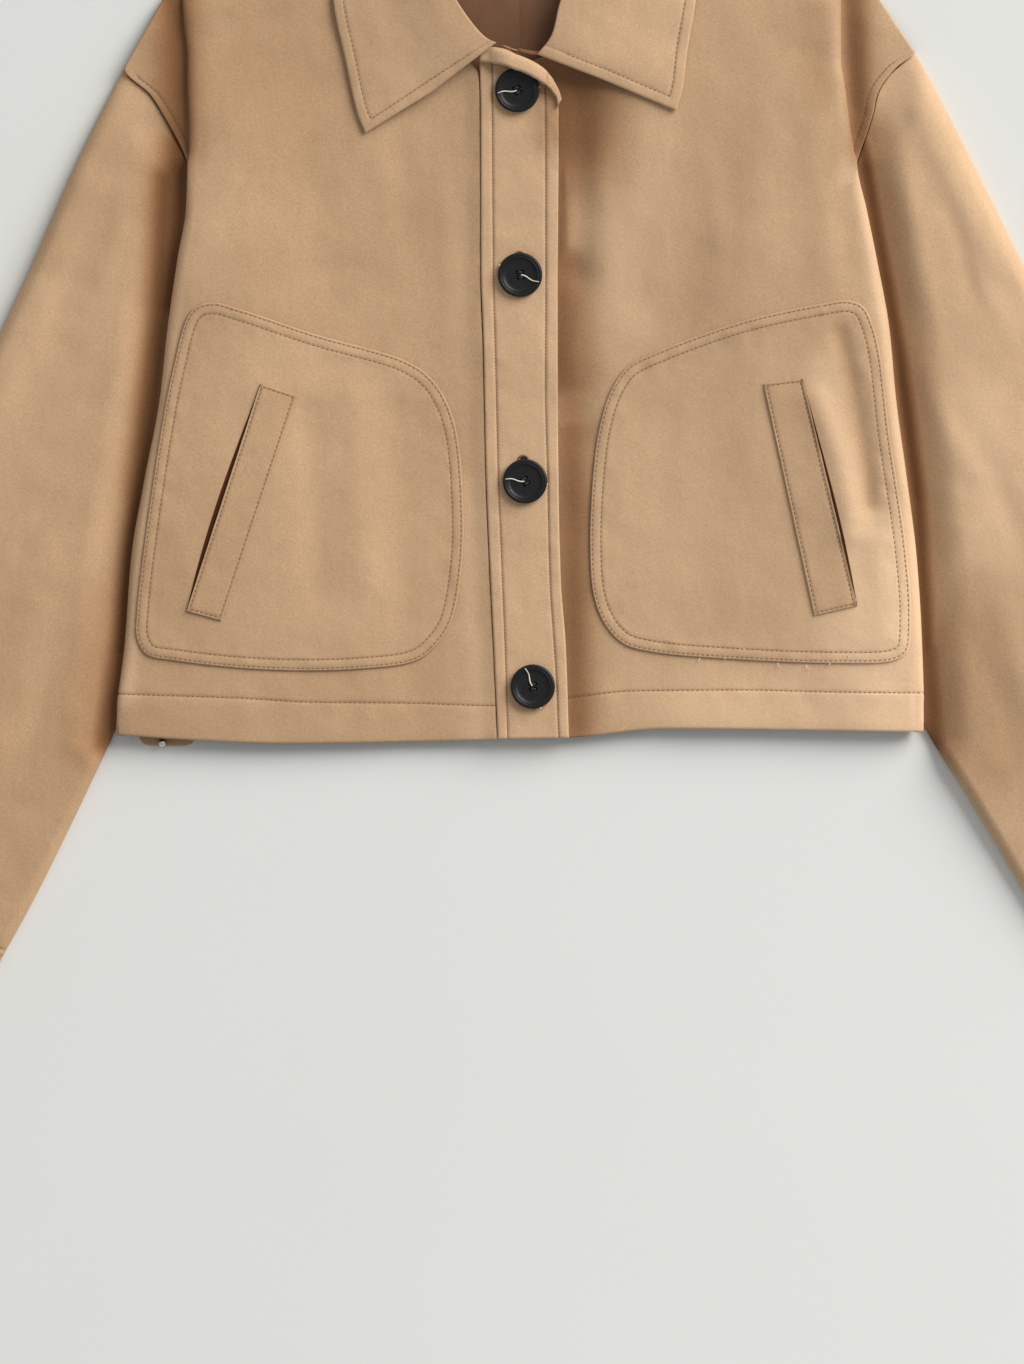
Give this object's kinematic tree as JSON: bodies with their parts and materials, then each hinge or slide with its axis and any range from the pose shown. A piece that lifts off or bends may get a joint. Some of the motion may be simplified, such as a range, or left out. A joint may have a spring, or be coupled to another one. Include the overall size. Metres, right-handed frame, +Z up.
{
  "type": "suede jacket",
  "caption": "Cropped button-front jacket in tan faux suede with a shirt collar, patch pockets with slanted welts and dropped sleeves, laid flat with its front up.",
  "frame": {"origin": "on the underside of the back panel, on the centre line, level with the lower end of the armholes", "axes": "+Z up from the surface it lies on, +Y towards the collar, +X towards the wearer's left sleeve"},
  "size_m": [0.983, 0.728, 0.0231],
  "materials": {
    "suede": "napped tan faux suede",
    "button_black": "satin black resin",
    "stud_metal": "polished silver metal"
  },
  "bodies": {
    "root": {"back": "suede", "front_right": "suede", "front_left": "suede", "sleeve_right": "suede", "sleeve_left": "suede", "placket": "suede", "collar_stand": "suede", "collar_leaf": "suede", "pocket_right": "suede", "pocket_left": "suede", "welt_right": "suede", "welt_left": "suede", "hem_tab": "suede", "button_1": "button_black", "button_2": "button_black", "button_3": "button_black", "button_4": "button_black", "tab_stud": "stud_metal"}
  },
  "joints": []
}
